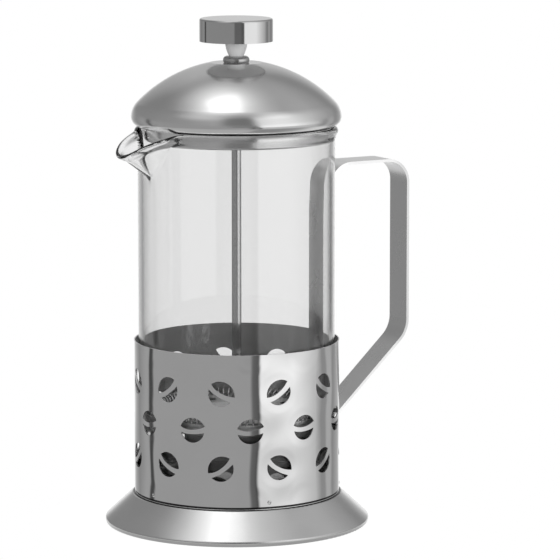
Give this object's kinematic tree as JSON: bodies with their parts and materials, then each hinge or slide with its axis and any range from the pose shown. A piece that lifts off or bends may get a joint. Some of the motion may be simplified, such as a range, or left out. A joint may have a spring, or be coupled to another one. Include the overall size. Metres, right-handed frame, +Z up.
{
  "type": "french press coffee maker",
  "caption": "Glass coffee press in a punched polished steel frame with a bent strip handle, flared foot, domed lid and a sprung mesh plunger with a flat knob.",
  "frame": {"origin": "on the table under the axis of the beaker, at the centre of the ring that the foot stands on", "axes": "+Z up along the axis of the beaker and rod, +X towards the handle, -X towards the spout, +Y completes the right-handed frame"},
  "size_m": [0.1178, 0.0962, 0.1839],
  "materials": {
    "polished_steel": "mirror polished stainless sheet",
    "satin_steel": "fine spun satin stainless sheet",
    "plain_steel": "plain pressed stainless sheet",
    "rod_steel": "bright drawn stainless wire and bar",
    "guide_chrome": "bright plated turned metal",
    "mesh_steel": "fine woven stainless wire cloth",
    "clear_glass": "clear heat-proof glass",
    "white_plastic": "moulded satin white plastic"
  },
  "bodies": {
    "frame": {"sleeve": "polished_steel", "foot": "satin_steel", "floor_plate": "plain_steel", "handle": "satin_steel"},
    "pad": {"base_pad": "white_plastic"},
    "beaker": {"beaker": "clear_glass"},
    "lid": {"lid_dome": "satin_steel", "lid_liner": "plain_steel", "rod_guide": "guide_chrome", "guide_washer": "plain_steel", "guide_nut": "plain_steel"},
    "plunger": {"knob_cap": "polished_steel", "knob_insert": "white_plastic", "rod": "rod_steel", "rod_collar": "rod_steel", "spiral_plate": "plain_steel", "filter_spring": "rod_steel", "filter_mesh": "mesh_steel", "cross_plate": "plain_steel", "filter_hub": "rod_steel"}
  },
  "joints": [
    {"name": "beaker_turn", "type": "hinge", "parent": "frame", "child": "pad", "pos_m": [0, 0, 0.0125], "axis": [0, 0, 1], "range_deg": [-160, 160]},
    {"name": "beaker_lift", "type": "slide", "parent": "pad", "child": "beaker", "axis": [0, 0, 1], "range_m": [0, 0.12]},
    {"name": "lid_lift", "type": "slide", "parent": "beaker", "child": "lid", "axis": [0, 0, 1], "range_m": [0, 0.118]},
    {"name": "plunger_slide", "type": "slide", "parent": "lid", "child": "plunger", "axis": [0, 0, 1], "range_m": [0, 0.096]}
  ]
}
